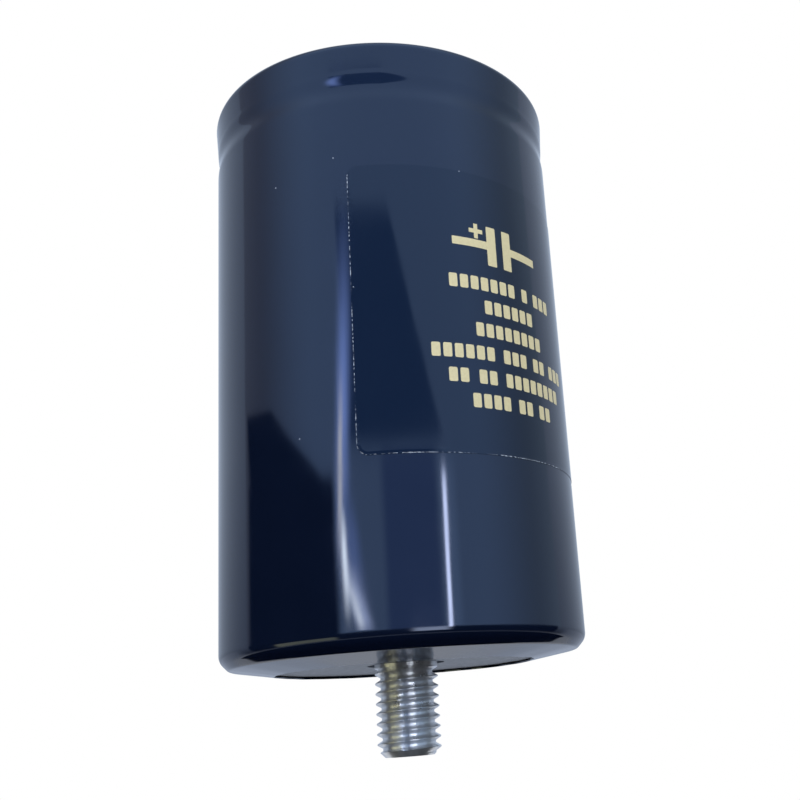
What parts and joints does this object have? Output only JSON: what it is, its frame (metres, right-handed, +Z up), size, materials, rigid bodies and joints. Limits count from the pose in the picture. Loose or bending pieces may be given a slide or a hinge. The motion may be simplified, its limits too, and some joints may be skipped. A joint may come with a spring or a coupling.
{
  "type": "electrolytic capacitor",
  "caption": "Screw-terminal electrolytic capacitor: sleeved aluminium can with a rolled bead, a threaded mounting stud below and tapped terminals on a moulded deck.",
  "frame": {"origin": "on the stud's axis, level with the lower face of the sleeve's lip", "axes": "+Z up the can's axis to the terminals, +X from the negative terminal to the positive one, and the label faces -Y"},
  "size_m": [0.0666, 0.0666, 0.1266],
  "materials": {
    "can_aluminium": "drawn and rolled aluminium, machined on the stud",
    "shrink_sleeve": "glossy dark slate-blue shrink film",
    "label_film": "gloss navy film with pale gold print",
    "insulating_disc": "satin grey sheet",
    "phenolic_deck": "moulded phenolic, satin black",
    "gasket_rubber": "matt black rubber",
    "vent_rubber": "dark grey silicone rubber",
    "terminal_aluminium": "turned aluminium",
    "tab_foil": "soft bright foil",
    "spacer_paper": "kraft board",
    "winding_paper": "electrolyte-soaked kraft paper",
    "tape_film": "amber film"
  },
  "bodies": {
    "root": {"can": "can_aluminium", "sleeve": "shrink_sleeve", "label": "label_film", "base_disc": "insulating_disc", "deck": "phenolic_deck", "deck_gasket": "gasket_rubber", "vent_plug": "vent_rubber", "positive_terminal": "terminal_aluminium", "negative_terminal": "terminal_aluminium", "positive_washer": "terminal_aluminium", "negative_washer": "terminal_aluminium", "positive_tabs": "tab_foil", "negative_tabs": "tab_foil", "top_spacer": "spacer_paper", "winding": "winding_paper", "winding_tape": "tape_film", "bottom_pad": "spacer_paper"}
  },
  "joints": []
}
